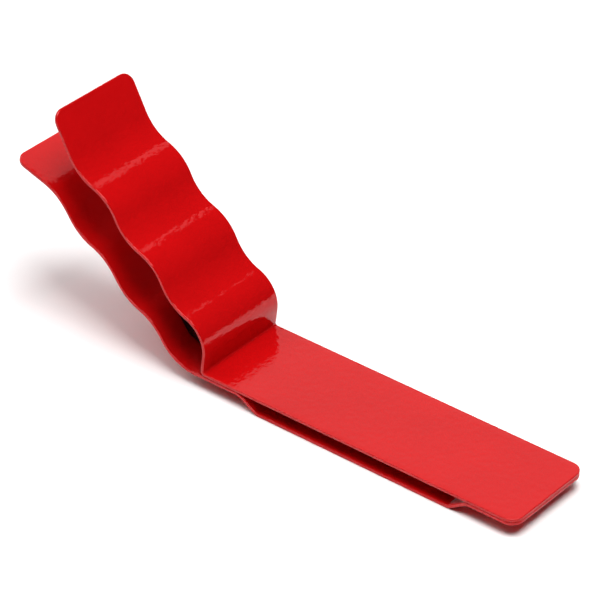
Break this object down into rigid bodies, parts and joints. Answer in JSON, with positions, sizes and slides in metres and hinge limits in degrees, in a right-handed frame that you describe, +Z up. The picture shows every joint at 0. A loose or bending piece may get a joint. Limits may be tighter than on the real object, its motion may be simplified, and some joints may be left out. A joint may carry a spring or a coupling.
{
  "type": "binder clip",
  "caption": "Spring clip with two formed steel leaves, long flat jaws and wavy squeeze handles, hinged at the root on a pin with a torsion spring.",
  "frame": {"origin": "centre of the flat underside of the lower jaw, on the clip's mid-plane", "axes": "+X along the jaws to their tip, +Y across the strip, +Z up out of the upper jaw's face, with the jaw faces level"},
  "size_m": [0.1117, 0.02, 0.0439],
  "materials": {
    "painted_leaf": "glossy red powder coat with a slight orange peel",
    "oxide_bracket": "satin black oxide",
    "oxide_pin": "satin black oxide",
    "spring_wire": "drawn and oiled spring wire"
  },
  "bodies": {
    "lower_half": {"lower_leaf": "painted_leaf", "lower_hinge_bracket": "oxide_bracket", "hinge_pin": "oxide_pin", "torsion_spring": "spring_wire"},
    "upper_half": {"upper_leaf": "painted_leaf", "upper_hinge_bracket": "oxide_bracket"}
  },
  "joints": [
    {"name": "jaw_hinge", "type": "hinge", "parent": "lower_half", "child": "upper_half", "pos_m": [-0.03785, 0, 0.0071], "axis": [0, -1, 0], "range_deg": [0, 12], "stiffness_Nm_per_rad": 0.34, "springref_deg": -25.78, "deforming": ["torsion_spring"]}
  ]
}
